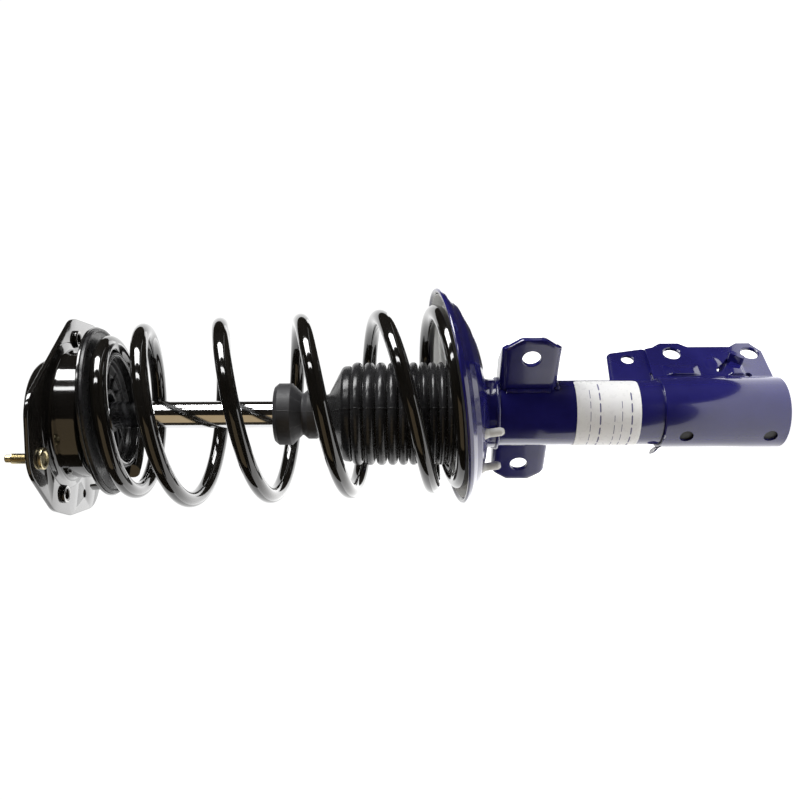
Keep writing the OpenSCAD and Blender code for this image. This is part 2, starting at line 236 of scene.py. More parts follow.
def meshOf(name, shapes, tidy=True):
    # shapes with a third item have that material index
    built = bmesh.new()
    for shape in shapes:
        corners = [built.verts.new(Vector(p) * mm) for p in shape[0]]
        for face in shape[1]:
            made = built.faces.new([corners[i] for i in face])
            made.material_index = shape[2] if len(shape) > 2 else 0
    if tidy:
        bmesh.ops.remove_doubles(built, verts=built.verts[:], dist=2e-6)
        bmesh.ops.dissolve_degenerate(built, edges=built.edges[:], dist=1e-6)
        bmesh.ops.recalc_face_normals(built, faces=built.faces[:])
    mesh = bpy.data.meshes.new(name)
    built.to_mesh(mesh)
    built.free()
    return mesh


def addObject(name, data):
    added = bpy.data.objects.new(name, data)
    bpy.context.scene.collection.objects.link(added)
    return added


def settle(piece):
    # applies the piece's modifiers
    bpy.context.view_layer.update()
    shown = piece.evaluated_get(bpy.context.evaluated_depsgraph_get())
    mesh = bpy.data.meshes.new_from_object(shown)
    piece.modifiers.clear()
    piece.data = mesh


def shadeByAngle(piece, degrees=38):
    piece.data.shade_smooth()
    piece.data.set_sharp_from_angle(angle=math.radians(degrees))


def makePiece(name, shapes, body, slot, replaces=(), place=None, bevel=0, cuts=(), sharp=38, looks=None):
    # looks lists the piece's materials where they aren't its slot's own finish
    if place is not None:
        shapes = [placed(shape, place) + shape[2:] for shape in shapes]
    piece = addObject(name, meshOf(name, shapes))
    for finish in looks or [finishes[slot]]:
        piece.data.materials.append(finish)
    if bevel:
        rounding = piece.modifiers.new("edges", "BEVEL")
        rounding.width = bevel * mm
        rounding.segments = 2
        rounding.limit_method = "ANGLE"
        rounding.angle_limit = math.radians(50)
        settle(piece)
    for shape in cuts:
        cutter = addObject("cutter", meshOf("cutter", [shape]))
        hole = piece.modifiers.new("hole", "BOOLEAN")
        hole.operation = "DIFFERENCE"
        hole.solver = "EXACT"
        hole.object = cutter
        settle(piece)
        bpy.data.objects.remove(cutter)
    shadeByAngle(piece, sharp)
    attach(piece, body)
    if replaces:
        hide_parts(*replaces)
    return piece


def holeCutter(radius, low, high, chamfer=0.6, steps=64):
    # a punch with flared ends, so that the hole gets rounded lips
    return lathe([(0, low - 1), (radius + chamfer + 1, low - 1), (radius, low + chamfer),
                  (radius, high - chamfer), (radius + chamfer + 1, high + 1), (0, high + 1)], steps, False)


# Finishes. Object coordinates are metres, so a scale of 1000 gives features of a millimetre.
class Finish:
    def __init__(self, name, **sockets):
        self.material = bpy.data.materials.new(name)
        self.material.use_nodes = True
        self.nodes = self.material.node_tree.nodes
        self.links = self.material.node_tree.links
        self.shader = self.nodes["Principled BSDF"]
        self.place = self.nodes.new("ShaderNodeTexCoord").outputs["Object"]
        self.height = None
        for socket, value in sockets.items():
            self.shader.inputs[socket.replace("_", " ")].default_value = value

    def noise(self, scale, detail=3, stretch=(1, 1, 1)):
        mapping = self.nodes.new("ShaderNodeMapping")
        mapping.inputs["Scale"].default_value = stretch
        self.links.new(self.place, mapping.inputs["Vector"])
        texture = self.nodes.new("ShaderNodeTexNoise")
        texture.inputs["Scale"].default_value = scale
        texture.inputs["Detail"].default_value = detail
        self.links.new(mapping.outputs["Vector"], texture.inputs["Vector"])
        return texture.outputs["Fac"]

    def remap(self, value, low, high, outLow=0.0, outHigh=1.0):
        node = self.nodes.new("ShaderNodeMapRange")
        for socket, number in zip(("From Min", "From Max", "To Min", "To Max"), (low, high, outLow, outHigh)):
            node.inputs[socket].default_value = number
        self.links.new(value, node.inputs["Value"])
        return node.outputs["Result"]

    def mix(self, share, first, second):
        node = self.nodes.new("ShaderNodeMix")
        node.data_type = "RGBA"
        self.links.new(share, node.inputs["Factor"])
        for socket, colour in ((node.inputs[6], first), (node.inputs[7], second)):
            if isinstance(colour, tuple):
                socket.default_value = (*colour, 1)
            else:
                self.links.new(colour, socket)
        return node.outputs[2]

    def times(self, first, second):
        node = self.nodes.new("ShaderNodeMath")
        node.operation = "MULTIPLY"
        for socket, value in zip(node.inputs, (first, second)):
            if isinstance(value, (int, float)):
                socket.default_value = value
            else:
                self.links.new(value, socket)
        return node.outputs[0]

    def edges(self, low=0.54, high=0.64):
        # where the surface bends outwards, broken up so that the wear isn't even
        outward = self.remap(self.nodes.new("ShaderNodeNewGeometry").outputs["Pointiness"], low, high)
        return self.times(outward, self.remap(self.noise(160, 5), 0.42, 0.6))

    def bump(self, height, distance, strength=1.0):
        node = self.nodes.new("ShaderNodeBump")
        node.inputs["Distance"].default_value = distance * mm
        node.inputs["Strength"].default_value = strength
        self.links.new(height, node.inputs["Height"])
        if self.height is not None:
            self.links.new(self.height, node.inputs["Normal"])
        self.height = node.outputs["Normal"]

    def done(self, colour, roughness):
        self.links.new(colour, self.shader.inputs["Base Color"])
        self.links.new(roughness, self.shader.inputs["Roughness"])
        if self.height is not None:
            self.links.new(self.height, self.shader.inputs["Normal"])
        return self.material


def paintFinish(name, base, worn, roughness, coat=1.0, coatRoughness=0.03, peel=0.02, dust=0.25):
    paint = Finish(name, Coat_Weight=coat, Coat_Roughness=coatRoughness, Coat_IOR=1.5, Specular_IOR_Level=0.5)
    tint = tuple(c * 1.35 + 0.003 for c in base)
    colour = paint.mix(paint.remap(paint.noise(28, 4), 0.35, 0.7), base, tint)
    colour = paint.mix(paint.edges(), colour, worn)
    specks = paint.remap(paint.noise(1400, 2), 0.72, 0.8, 0, dust)
    colour = paint.mix(specks, colour, (0.3, 0.29, 0.27))
    smear = paint.remap(paint.noise(60, 5, (1, 1, 0.3)), 0.3, 0.75, roughness * 0.75, roughness * 1.4)
    paint.bump(paint.noise(420, 2), peel)
    paint.bump(paint.noise(90, 3), peel * 2)
    return paint.done(colour, smear)


def rubberFinish(name, base, bloom, roughness, grain=0.03, grainScale=1500):
    rubber = Finish(name, Specular_IOR_Level=0.4, Sheen_Weight=0.08, Sheen_Roughness=0.4)
    colour = rubber.mix(rubber.remap(rubber.noise(45, 5), 0.4, 0.72), base, bloom)
    colour = rubber.mix(rubber.edges(0.53, 0.62), colour, tuple(c * 1.7 + 0.01 for c in bloom))
    sheenMarks = rubber.remap(rubber.noise(220, 4), 0.3, 0.7, roughness - 0.07, roughness + 0.09)
    rubber.bump(rubber.noise(grainScale, 3), grain)
    rubber.bump(rubber.noise(130, 3), grain * 2.5)
    return rubber.done(colour, sheenMarks)


def metalFinish(name, base, stain, roughness, stretch=(1, 1, 1), grain=0.008, grainScale=1600):
    metal = Finish(name, Metallic=1.0, Specular_IOR_Level=0.5)
    colour = metal.mix(metal.remap(metal.noise(70, 5), 0.42, 0.75), base, stain)
    colour = metal.mix(metal.edges(), colour, tuple(min(1, c * 1.15) for c in base))
    marks = metal.remap(metal.noise(grainScale, 4, stretch), 0.25, 0.75, roughness * 0.6, roughness * 1.5)
    metal.bump(metal.noise(grainScale, 2, stretch), grain)
    return metal.done(colour, marks)


def plasticFinish(name, base, shade, roughness, grain=0.02):
    plastic = Finish(name, Specular_IOR_Level=0.5, Subsurface_Weight=0.0)
    colour = plastic.mix(plastic.remap(plastic.noise(55, 4), 0.35, 0.7), base, shade)
    colour = plastic.mix(plastic.edges(), colour, tuple(min(1, c * 1.1 + 0.01) for c in base))
    marks = plastic.remap(plastic.noise(300, 3), 0.3, 0.7, roughness - 0.06, roughness + 0.08)
    plastic.bump(plastic.noise(900, 3), grain)
    return plastic.done(colour, marks)


finishes = {
    "mount_paint": paintFinish("mountPaint", (0.005, 0.0045, 0.004), (0.04, 0.035, 0.028), 0.1),
    "seat_paint": paintFinish("seatPaint", (0.006, 0.006, 0.006), (0.06, 0.055, 0.05), 0.14, 0.6, 0.05),
    "spring_paint": paintFinish("springPaint", (0.004, 0.0036, 0.003), (0.035, 0.03, 0.025), 0.08,
                                peel=0.012),
    "strut_paint": paintFinish("strutPaint", (0.008, 0.007, 0.085), (0.05, 0.06, 0.2), 0.16, 0.6, 0.05,
                               dust=0.08),
    "mount_rubber": rubberFinish("mountRubber", (0.012, 0.012, 0.012), (0.03, 0.03, 0.03), 0.5),
    "insulator_rubber": rubberFinish("insulatorRubber", (0.01, 0.01, 0.011), (0.022, 0.022, 0.024), 0.3,
                                     0.008, 900),
    "boot_rubber": rubberFinish("bootRubber", (0.012, 0.012, 0.013), (0.022, 0.022, 0.024), 0.24, 0.008, 900),
    "bumper_foam": rubberFinish("bumperFoam", (0.026, 0.026, 0.029), (0.04, 0.04, 0.043), 0.5, 0.05, 1100),
    "rod_chrome": metalFinish("rodChrome", (0.82, 0.83, 0.85), (0.76, 0.75, 0.73), 0.09, (1, 1, 9), 0.0015,
                              900),
    "plated_steel": metalFinish("platedSteel", (0.6, 0.6, 0.59), (0.45, 0.44, 0.42), 0.3),
    "gold_zinc": metalFinish("goldZinc", (0.72, 0.62, 0.36), (0.6, 0.55, 0.42), 0.28),
    "bearing_steel": metalFinish("bearingSteel", (0.62, 0.62, 0.63), (0.5, 0.5, 0.5), 0.16, (1, 1, 6)),
    "sintered_iron": metalFinish("sinteredIron", (0.28, 0.27, 0.26), (0.18, 0.17, 0.16), 0.5, grain=0.03),
    "bush_bronze": metalFinish("bushBronze", (0.5, 0.34, 0.18), (0.36, 0.24, 0.13), 0.3),
    "cage_plastic": plasticFinish("cagePlastic", (0.04, 0.04, 0.042), (0.06, 0.06, 0.06), 0.4),
    "band_plastic": plasticFinish("bandPlastic", (0.1, 0.08, 0.05), (0.14, 0.12, 0.08), 0.4),
    "natural_plastic": plasticFinish("naturalPlastic", (0.78, 0.78, 0.75), (0.68, 0.68, 0.66), 0.42),
    "label_film": plasticFinish("labelFilm", (0.84, 0.84, 0.83), (0.79, 0.79, 0.8), 0.3, 0.005),
}
labelInk = plasticFinish("labelInk", (0.09, 0.09, 0.2), (0.15, 0.14, 0.26), 0.45, 0.003)
for part in frame["record"]["subparts"]:
    node = frame["nodes"][part["node"]]
    node.data.materials.clear()
    node.data.materials.append(finishes[part["material_slot"]])
    node.data.shade_smooth()
    node.data.set_sharp_from_angle(angle=math.radians(30))
print("finishes ready:", len(finishes))

# The two spring seats lean, so their parts are drawn level and then tilted.
upperSlope = (0.074, -0.058)
lowerSlope = (0.149, -0.032)
upperLean = leanMatrix(upperSlope)
lowerLean = shifted(21, 0, -313) @ leanMatrix(lowerSlope)

# Top mount: a pressed plate with a dome, and the drawn housing under it.
plateTop = nodeBox("mount_plate")[1].z
mountSizes = {
    "plateThickness": 3.5,
    "lobes": ((48, -27, 28), (74, 4, 32), (0, 68, 32), (-32, 42, 30), (-44, 18, 34), (-58, -18, 28),
              (-46, -42, 23)),
    "domeRadius": 46,
    "domeWall": 3,
    "domeFoot": 53,
    "domeMouth": 19,
    "drain": (-20.8, 72.4, 3.4),
    "studPlace": (-67, -18),
    "studRadius": 4,
    "nutRing": 65,
    "nutTurn": -34.2,
}
nutPlaces = [Vector((mountSizes["nutRing"] * math.cos(math.radians(mountSizes["nutTurn"] + half)),
                     mountSizes["nutRing"] * math.sin(math.radians(mountSizes["nutTurn"] + half)), 0))
             for half in (0, 180)]


def buildMountPlate():
    size = mountSizes
    flat = [Vector(p) for x, y, r in size["lobes"] for p in circlePath(x, y, r, 96)]
    hull = [flat[i] for i in convex_hull_2d(flat)]
    if sum(a.x * b.y - b.x * a.y for a, b in zip(hull, hull[1:] + hull[:1])) < 0:
        hull.reverse()
    under = -size["plateThickness"]
    holes = [(circlePath(0, 0, size["domeFoot"], 96), 0), (circlePath(*size["drain"]), 0.5),
             (circlePath(*size["studPlace"], size["studRadius"] - 0.1), 0)]
    holes += [(circlePath(spot.x, spot.y, 5.5), 0) for spot in nutPlaces]
    plate = placed(sheet(hull, holes, size["plateThickness"], 0.9), shifted(0, 0, under))
    top, r, wall = plateTop, size["domeRadius"], size["domeWall"]
    dome = lathe([(size["domeFoot"], 0), (r, 0, 4), (r, top, 10), (size["domeMouth"], top, 1.4),
                  (size["domeMouth"], top - wall, 1.4), (r - wall, top - wall, 7.5), (r - wall, under, 4),
                  (size["domeFoot"], under)])
    makePiece("mountPlate", [plate, dome], "top_mount", "mount_paint", ["mount_plate"])


def buildMountHousing():
    under = -mountSizes["plateThickness"]
    low, high = nodeBox("mount_housing")
    r = high.x
    cup = lathe([(r + 9, under + 0.3), (r + 8, under - 0.6, 1.5), (r, under - 1.6, 7), (r, low.z, 2.2),
                 (r - 4, low.z, 1), (r - 5.5, low.z + 3.5, 2), (29, low.z + 3.5, 1), (29, low.z + 6, 1),
                 (r - 2.5, low.z + 6, 2), (r - 2.5, under + 0.3)])
    makePiece("mountHousing", [cup], "top_mount", "mount_paint", ["mount_housing"])


def buildPierceNuts():
    nuts = []
    under = -mountSizes["plateThickness"]
    for spot in nutPlaces:
        rows = threadRows(4.25, 1.5, -0.55, under - 2.6, -0.5, 48, 10)
        rows += profileRows([(4.9, 0), (5.6, 0, 0.2), (5.6, under), (7.25, under, 0.3),
                             (7.25, under - 3, 0.9), (5.4, under - 3)], 48)
        nuts.append(placed(skin(rows, True), Matrix.Translation(spot)))
        ring = lathe([(5.3, under - 2.9), (6.2, under - 3.25, 0.3), (6.7, under - 2.9)], 48)
        nuts.append(placed(ring, Matrix.Translation(spot)) + (1,))
    makePiece("pierceNuts", nuts, "top_mount", "mount_paint", ["mount_pierce_nuts"],
              looks=[finishes["mount_paint"], finishes["plated_steel"]])


def buildStud():
    low, high = nodeBox("mount_stud")
    under = -mountSizes["plateThickness"]
    rows = profileRows([(0, low.z + 1.2), (4.6, low.z + 1.2, 0.8), (5.6, low.z, 0.8), (8.35, low.z, 1),
                        (8.35, under - 0.2, 0.6), (4, under)], 48)
    rows += [ringRow(4, 0, 48), ringRow(4, 1.5, 48)]
    rows += threadRows(4, 1.25, 0.62, 2, high.z - 5.2)
    rows += profileRows([(3.1, high.z - 5), (3, high.z - 4.6, 0.4), (3, high.z - 0.6, 0.5),
                         (2.4, high.z, 0.3), (0, high.z)], 48)
    stud = placed(skin(rows), shifted(*mountSizes["studPlace"], 0))
    makePiece("mountStud", [stud], "top_mount", "gold_zinc", ["mount_stud"])


def hexRadius(apothem, a):
    # from a hexagon's middle to its side, at an angle
    sixth = math.pi / 3
    return apothem / math.cos((a + sixth / 2) % sixth - sixth / 2)


def hexRow(apothem, height, corner=None):
    # corner is the radius that a turned edge leaves
    return ringRow(lambda a: min(hexRadius(apothem, a), corner or 2 * apothem), height)


def buildRodAndNut():
    low, high = nodeBox("piston_rod")
    shoulder = -26
    rows = profileRows([(0, low.z), (6, low.z, 0.8), (6, -372), (11, -372, 0.6), (11, shoulder, 1.2),
                        (7, shoulder)])
    rows += threadRows(7, 1.5, 0.8, shoulder + 1, high.z - 1, 96)
    rows += [ringRow(5.9, high.z), hexRow(3.1, high.z), hexRow(3, high.z - 0.4), hexRow(3, high.z - 7),
             ringRow(0, high.z - 7.5)]
    makePiece("pistonRod", [skin(rows)], "top_mount", "rod_chrome", ["piston_rod"])

    low, high = nodeBox("rod_nut")
    flat = min(high.x, high.y)
    corner = flat * 1.155
    rows = [hexRow(flat, low.z, corner - 1.3), hexRow(flat, low.z + 0.9, corner - 0.1),
            hexRow(flat, high.z - 0.9, corner - 0.1), hexRow(flat, high.z, corner - 1.4),
            ringRow(8.2, high.z), ringRow(7.2, high.z - 0.9)]
    rows += threadRows(7.15, 1.5, 0.02, low.z + 0.9, high.z - 1, 96)[::-1] + [ringRow(8, low.z)]
    makePiece("rodNut", [skin(rows, True)], "top_mount", "plated_steel", ["rod_nut"])

    low, high = nodeBox("rebound_washer")
    washer = lathe([(7.1, low.z), (high.x, low.z, 0.6), (high.x, high.z, 0.9), (13, high.z, 0.4),
                    (12, high.z - 0.5, 0.4), (7.1, high.z - 0.5, 0.4)])
    makePiece("reboundWasher", [washer], "top_mount", "plated_steel", ["rebound_washer"])


# Upper seat: leaning flange, its rubber and the cup for the bumper. Heights are before the lean.
seatSizes = {
    "flangeTop": -31.6,
    "sheet": 1.8,
    "flangeRadius": 69,
    "hubTop": -30,
    "hubFoot": -32,
    "hubRadius": 46.5,
    "rodHole": 14,
    "ringOuter": 45.5,
    "ringInner": 43,
    "ringFoot": -47.4,
    "ribs": 14,
}


def buildUpperSeat():
    size = seatSizes
    top, r = size["flangeTop"], size["flangeRadius"]
    under = top - size["sheet"]
    flange = lathe([(47.5, top), (r - 3, top, 1), (r, top + 0.1, 0.9), (r, under - 0.6, 0.8),
                    (r - 1.2, under - 0.6, 0.5), (r - 1.8, under, 0.5), (size["ringOuter"], under),
                    (size["ringOuter"], size["ringFoot"], 1), (size["ringInner"], size["ringFoot"], 1),
                    (size["ringInner"], under - 1, 2), (size["rodHole"], under - 1),
                    (size["rodHole"], under + 0.6), (44, under + 0.6)], 128)
    hubUnder = [(x, y, min(size["hubTop"] - 0.5, z + upperSlope[0] * x + upperSlope[1] * y))
                for x, y, z in ringRow(size["hubRadius"], size["hubFoot"])]
    hub = skin([ringRow(size["rodHole"], size["hubTop"] - 1), ringRow(size["rodHole"], size["hubTop"]),
                ringRow(size["hubRadius"] - 0.6, size["hubTop"]),
                ringRow(size["hubRadius"], size["hubTop"] - 0.3), hubUnder])
    tab = sheet(filletPath([(-4, 0), (4, 0), (4, 7, 1.6), (-4, 7, 1.6)]), [], 1.8, 0.4)
    tabPlace = upperLean @ turned(162, "Z") @ shifted(r - 2.2, 0, top - 1)
    tabPlace = tabPlace @ Matrix(((0, 0, 1, 0), (1, 0, 0, 0), (0, 1, 0, 0), (0, 0, 0, 1)))
    makePiece("upperSpringSeat", [placed(flange, upperLean), hub, placed(tab, tabPlace)], "upper_seat",
              "seat_paint", ["upper_spring_seat"])

    ring = lathe([(size["ringOuter"] + 0.05, under), (67.7, under, 0.8), (67.7, under - 3.4, 1.6),
                  (65.6, under - 3.8, 1), (64.2, under - 1.8, 1), (47.4, under - 1.8, 2),
                  (47.4, under - 9, 0.6), (46.8, under - 9.6, 0.4), (46.8, under - 11.2, 0.4),
                  (47.3, under - 11.8, 0.6), (46.8, under - 14, 1),
                  (size["ringOuter"] + 0.05, under - 14)], 128)
    makePiece("upperInsulator", [ring], "upper_seat", "insulator_rubber", ["upper_insulator"], upperLean)

    cup = lathe([(size["rodHole"], under - 1.05), (size["ringInner"] - 0.05, under - 1.05),
                 (size["ringInner"] - 0.05, under - 7.5, 0.8), (40.5, under - 7.5, 0.8),
                 (39.5, under - 4, 1.5), (31, under - 4, 1), (30, under - 2.6, 1), (18.5, under - 2.6, 0.6),
                 (17.5, under - 5, 0.8), (size["rodHole"], under - 5, 0.8)], 128)
    ribs = []
    for i in range(size["ribs"]):
        start = fullTurn * i / size["ribs"]
        arm = [(r, start + 0.012 * (r - 16)) for r in (17 + 1.5 * k for k in range(16))]
        ribs.append(bead([(r * math.cos(a), r * math.sin(a), under - 3.4) for r, a in arm], 1.3, 8))
    makePiece("bumperCup", [cup] + ribs, "upper_seat", "seat_paint", ["bumper_cup"], upperLean,
              looks=[finishes["insulator_rubber"]])


# Coil spring: a wire along a helix whose pitch, radius, centre and tilt change from end to end.
springSizes = {
    "wireRadius": 6.6,
    "firstTurn": -0.42,
    "lastTurn": 5.6,
    "startHeight": -42.3,
    "startAngle": -47,
    "pitch": 65.6,
    "rampUp": (-0.2, 1.5),
    "rampDown": (4.33, 5.23),
    "endRadius": 56.5,
    "midRadius": 71,
    "footRadius": 70,
    "sideShift": (-1.5, 3.2),
    "seatShift": 21,
    "slopes": (upperSlope, (0.053, -0.046), lowerSlope),
    "pointsPerTurn": 72,
}


def blendTo(first, second, share):
    return first + (second - first) * min(1, max(0, share))


def climb(turn, start, end):
    if turn < start:
        return 0
    return (turn - start) ** 2 / (2 * (end - start)) if turn < end else turn - (start + end) / 2


def springPoint(turn):
    size = springSizes
    drop = climb(turn, *size["rampUp"]) - climb(turn, *size["rampDown"])
    height = size["startHeight"] - size["pitch"] * drop
    grown = math.exp(-max(0, turn - 0.3) / 0.35)
    radius = size["midRadius"] - (size["midRadius"] - size["endRadius"]) * grown
    side = blendTo(*size["sideShift"], (turn - 0.3) / 0.7)
    if turn > 4:
        radius = blendTo(size["midRadius"], size["footRadius"], (turn - 4.6) / 0.6)
        side = blendTo(size["sideShift"][1], 0, (turn - 4.3) / 0.8)
    centre = Vector((blendTo(1, size["seatShift"], (-50 - height) / 271), side))
    upper, middle, lower = (Vector(s) for s in size["slopes"])
    slope = upper.lerp(middle, min(1, max(0, turn - 0.5)))
    if turn > 2:
        slope = middle.lerp(lower, min(1, max(0, (turn - 3.6) / 1.4)))
    angle = math.radians(size["startAngle"] - 360 * turn)
    arm = radius * Vector((math.cos(angle), math.sin(angle)))
    return Vector((*(centre + arm), height + slope.dot(arm)))


def wireModifier(radius, finish):
    # the wire is swept from the centreline by a modifier, so that it stays round if the spring is squashed
    group = bpy.data.node_groups.new("wire", "GeometryNodeTree")
    group.interface.new_socket("Geometry", in_out="INPUT", socket_type="NodeSocketGeometry")
    group.interface.new_socket("Geometry", in_out="OUTPUT", socket_type="NodeSocketGeometry")
    chain = [group.nodes.new("NodeGroupInput")]
    for kind in ("GeometryNodeMeshToCurve", "GeometryNodeCurveToMesh", "GeometryNodeSetShadeSmooth",
                 "GeometryNodeSetMaterial", "NodeGroupOutput"):
        chain.append(group.nodes.new(kind))
    for before, after in zip(chain, chain[1:]):
        group.links.new(before.outputs[0], after.inputs[0])
    circle = group.nodes.new("GeometryNodeCurvePrimitiveCircle")
    circle.inputs["Resolution"].default_value = 28
    circle.inputs["Radius"].default_value = radius * mm
    group.links.new(circle.outputs["Curve"], chain[2].inputs["Profile Curve"])
    chain[2].inputs["Fill Caps"].default_value = True
    chain[4].inputs["Material"].default_value = finish
    return group


def buildSpring():
    size = springSizes
    count = round((size["lastTurn"] - size["firstTurn"]) * size["pointsPerTurn"])
    points = [springPoint(size["firstTurn"] + (size["lastTurn"] - size["firstTurn"]) * i / count) * mm
              for i in range(count + 1)]
    mesh = bpy.data.meshes.new("coilSpring")
    mesh.from_pydata(points, [(i, i + 1) for i in range(count)], [])
    spring = addObject("coilSpring", mesh)
    mesh.materials.append(finishes["spring_paint"])
    wire = spring.modifiers.new("wire", "NODES")
    wire.node_group = wireModifier(size["wireRadius"], finishes["spring_paint"])
    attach(spring, "strut_tube")
    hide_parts("coil_spring")
    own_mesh(spring)


# Dust boot and jounce bumper, moulded in two-part moulds, so each has a parting line on both sides.
bootSizes = {
    "neckTop": -213.5,
    "neckRadius": 15.7,
    "shoulder": 39.3,
    "crest": 42,
    "valley": 36.6,
    "folds": 10,
    "firstFold": -239.5,
    "foldStep": 10.1,
    "foldShrink": 0.2,
    "foot": -328,
    "wall": 1.6,
    "partingTurn": -131,
}


def foldHeight(i):
    return bootSizes["firstFold"] - bootSizes["foldStep"] * i + bootSizes["foldShrink"] * i * i


def partingLines(profile, width=0.32):
    # thin flash lines that follow a lathe's profile
    lines = []
    for half in (0, 180):
        a = math.radians(bootSizes["partingTurn"] + half)
        lines.append(bead([(p.x * math.cos(a), p.x * math.sin(a), p.y) for p in profile], width, 6))
    return lines


def buildBoot():
    size = bootSizes
    outer = filletPath([(size["neckRadius"], size["neckTop"]),
                        (size["neckRadius"] + 0.6, size["neckTop"] - 2.8, 1),
                        (size["shoulder"] - 0.6, size["neckTop"] - 14.5, 4),
                        (size["shoulder"], size["neckTop"] - 20.5, 1.5),
                        (37.4, size["neckTop"] - 21.6)], False)
    for i in range(size["folds"]):
        half = (foldHeight(i) - foldHeight(i + 1)) / 2
        for k in range(13):
            s = -1 + k / 6
            bulge = (1 - abs(s) ** 2.4) ** 0.55
            outer.append(Vector((size["valley"] + (size["crest"] - size["valley"]) * bulge,
                                 foldHeight(i) - s * half)))
    outer += filletPath([(size["valley"], foldHeight(size["folds"] - 0.5) - 0.5),
                         (38, foldHeight(size["folds"] - 0.5) - 2, 1), (38, size["foot"] + 2, 1),
                         (36, size["foot"])], False)
    inner = [Vector((max(12, p.x - size["wall"]), p.y)) for p in reversed(outer)]
    skinRows = [ringRow(p.x, p.y, 144) for p in outer + inner]
    makePiece("dustBoot", [skin(skinRows, True)] + partingLines(outer), "strut_tube",
              "boot_rubber", ["dust_boot"], sharp=60)


def buildBumper():
    low, high = nodeBox("jounce_bumper")
    top = high.z
    outer = filletPath([(11.8, top), (15, top, 0.8), (22.3, top - 0.2, 1), (25.2, top - 3.6, 1),
                        (25.2, top - 14, 1), (17.2, top - 22.3, 1.6), (17, top - 23.3, 1.2),
                        (20.3, top - 27.4, 1), (20.3, top - 34, 1), (15.6, top - 41, 1), (15.4, top - 43.5),
                        (15.4, low.z)], False)
    inner = [Vector((11.8, low.z)), Vector((11.8, top - 1))]
    rows = [ringRow(p.x, p.y, 128) for p in outer + inner]
    makePiece("jounceBumper", [skin(rows, True)] + partingLines(outer[3:], 0.22), "strut_tube",
              "bumper_foam", ["jounce_bumper"], sharp=24)


# Lower seat: an offset dish that leans, its collar on the tube and the white liner.
dishSizes = {
    "rim": 90,
    "sheet": 3,
    "floor": -25,
    "tube": 26.5,
    "drainTurns": (95, 265),
    "pegRing": 66,
    "pegTurns": (-25, 13),
    "pegRadius": 3.4,
    "pegFoot": -33,
}


def buildLowerSeat():
    size = dishSizes
    r, t, floor = size["rim"], size["sheet"], size["floor"]
    skinOut = [(r - 2.6, 0, 0.8), (r - 0.9, 0.0, 0.9), (r, -1.4, 1), (r - 2.2, -4.6, 3), (r - 8.5, -8.8, 5),
               (r - 13.4, -13.8, 6), (r - 26.5, -20.2, 10), (r - 40, floor, 8), (30, floor, 3),
               (24.5, floor - 3)]
    skinIn = [(24.5, floor + t - 3), (30, floor + t, 3), (r - 41, floor + t, 8), (r - 28, -17.2, 10),
              (r - 15, -10.8, 6), (r - 10, -6.2, 5), (r - 4.4, -2.6, 2)]
    dish = lathe(skinOut + skinIn, 160)
    cuts = [placed(holeCutter(size["tube"] - 0.2, -60, 40, 0, 96), shifted(0, 0, -320))]
    for turn in size["drainTurns"]:
        cuts.append(placed(holeCutter(5, -30, 0, 0), lowerLean @ turned(turn, "Z") @ shifted(58, 0, 0)))
    makePiece("lowerSpringSeat", [placed(dish, lowerLean)], "strut_tube", "strut_paint",
              ["lower_spring_seat"], cuts=cuts)

    collarFoot = nodeBox("seat_collar")[0].z
    neck = size["tube"]
    collar = lathe([(neck, collarFoot), (neck + 1.9, collarFoot, 0.8), (neck + 2, -345, 2),
                    (neck + 2.6, -341, 3), (neck + 4.5, -333), (neck, -325)])
    run = [((neck + 1.6) * math.cos(a), (neck + 1.6) * math.sin(a), collarFoot + 0.2)
           for a in (fullTurn * i / 90 for i in range(84))]
    makePiece("seatCollar", [collar, weld(run, 1.5)], "strut_tube", "strut_paint", ["seat_collar"])

    liner = lathe([(54, -19.9), (54, -9.6, 1.2), (62, -9.2, 2), (70, -8.4, 2), (76.4, -7.4, 1),
                   (85, -1.2, 0.4), (85.4, -2.2, 0.4), (79.5, -6, 2), (75, -10.5, 2),
                   (62.3, -16.7, 3)], 160)
    pegs = []
    for turn in size["pegTurns"]:
        peg = lathe([(0, size["pegFoot"]), (2.2, size["pegFoot"], 0.8),
                     (size["pegRadius"], size["pegFoot"] + 2.5, 0.8), (size["pegRadius"], -21, 0.5),
                     (5.2, -16), (5.2, -12), (0, -12)], 40, False)
        spot = turned(180 + turn, "Z") @ Vector((size["pegRing"], 0, 0))
        pegs.append(placed(peg, shifted(*spot)))
    makePiece("lowerInsulator", [liner] + pegs, "strut_tube", "natural_plastic",
              ["lower_insulator"], lowerLean)


# Damper tube: drawn tube with a rolled top, its foot cap and the label.
tubeSizes = {
    "radius": 26.5,
    "labelTop": -414,
    "labelFoot": -465,
    "labelTurn": -169,
    "labelWrap": 210,
    "labelThickness": 0.3,
    "labelCorner": 4,
}


def buildTube():
    low, high = nodeBox("reserve_tube")
    r = tubeSizes["radius"]
    tube = lathe([(12.2, high.z - 3), (19, high.z - 3), (19, high.z), (r - 3, high.z, 1),
                  (r, high.z - 1, 2.4), (r, low.z + 1, 0.8), (r - 2.5, low.z + 1, 0.4),
                  (r - 2.5, high.z - 4, 1)], 128)
    makePiece("reserveTube", [tube], "strut_tube", "strut_paint", ["reserve_tube"])
    low, high = nodeBox("base_cap")
    cap = lathe([(0, high.z), (r - 2.5, high.z), (r - 2.5, low.z + 2, 0.5), (r - 1, low.z + 1.9, 0.4),
                 (r - 1, low.z, 0.9), (r - 5, low.z, 0.9), (r - 7, low.z + 2.6, 2), (8, low.z + 3.4, 4),
                 (0, low.z + 3.4)], 96, False)
    makePiece("baseCap", [cap], "strut_tube", "strut_paint", ["base_cap"])


